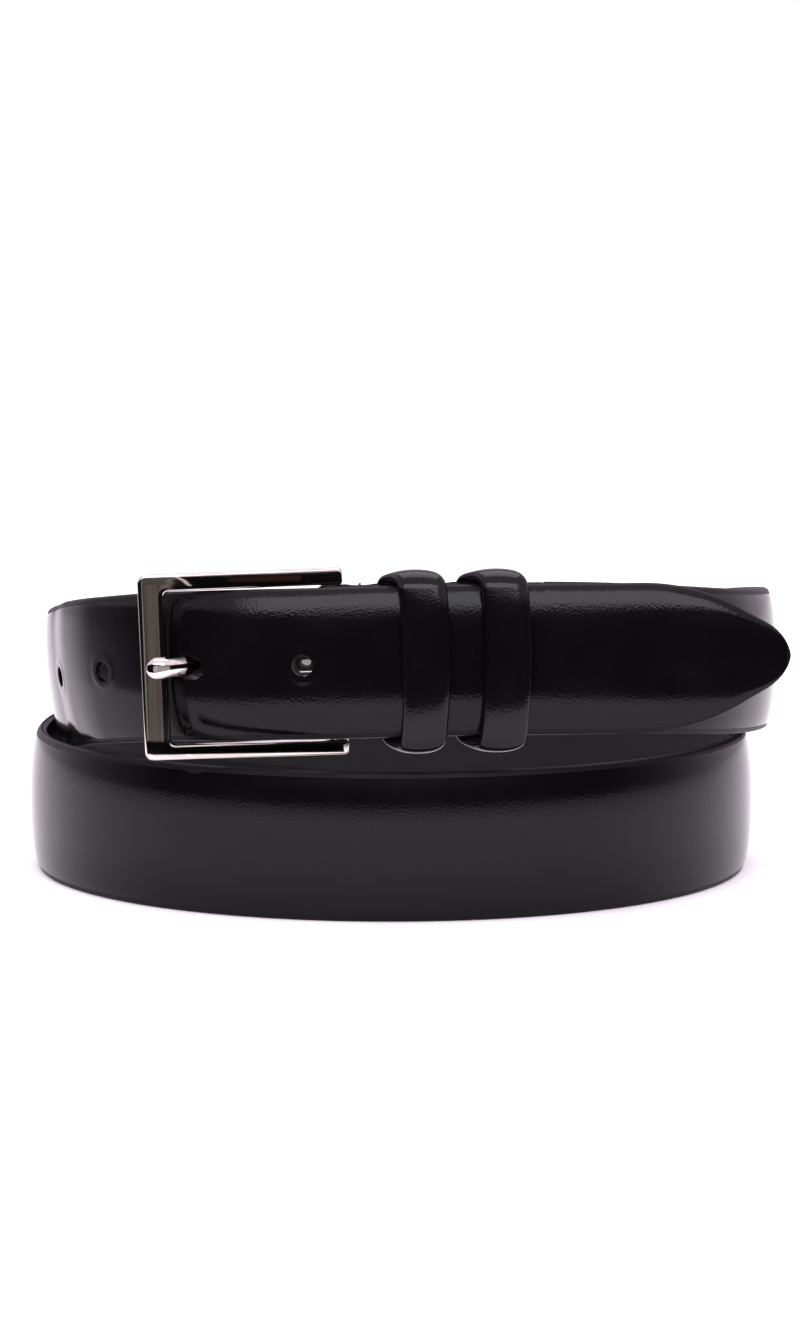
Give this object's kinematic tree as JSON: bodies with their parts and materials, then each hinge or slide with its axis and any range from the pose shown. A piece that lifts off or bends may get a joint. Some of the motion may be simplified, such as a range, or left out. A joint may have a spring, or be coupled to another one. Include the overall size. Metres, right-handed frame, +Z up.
{
  "type": "belt",
  "caption": "Black leather dress belt with a plated frame buckle, prong and two keepers, buckled and wound into two stacked turns.",
  "frame": {"origin": "middle of the bounding box's underside, on the surface the belt stands on", "axes": "+Z up, across the strap of the lower turn; -Y towards the buckle; +X towards the strap's tip"},
  "size_m": [0.1716, 0.1588, 0.0748],
  "materials": {
    "black_face_leather": "polished, fine grain",
    "lining_leather": "plain smooth",
    "padding": "bonded leather board",
    "plated_metal": "polished dark nickel plate",
    "staple_wire": "drawn wire",
    "thread": "waxed polyester thread"
  },
  "bodies": {
    "strap": {"strap_face": "black_face_leather", "strap_core": "padding", "strap_lining": "lining_leather", "keeper_1_cover": "black_face_leather", "keeper_1_filler": "padding", "keeper_1_staple": "staple_wire", "keeper_2_cover": "black_face_leather", "keeper_2_filler": "padding", "keeper_2_staple": "staple_wire", "stitch_row_1": "thread", "stitch_row_2": "thread", "stitch_row_3": "thread"},
    "frame": {"buckle_frame": "plated_metal", "buckle_bar": "plated_metal"},
    "prong": {"prong": "plated_metal"}
  },
  "joints": [
    {"name": "buckle_pivot", "type": "hinge", "parent": "strap", "child": "frame", "pos_m": [-0.01445, -0.06795, 0.05475], "axis": [-0.0404, 0.006, 0.9992], "range_deg": [-1, 1]},
    {"name": "prong_pivot", "type": "hinge", "parent": "frame", "child": "prong", "pos_m": [-0.01445, -0.06795, 0.05475], "axis": [-0.0404, 0.006, 0.9992], "range_deg": [0, 0.7]}
  ]
}
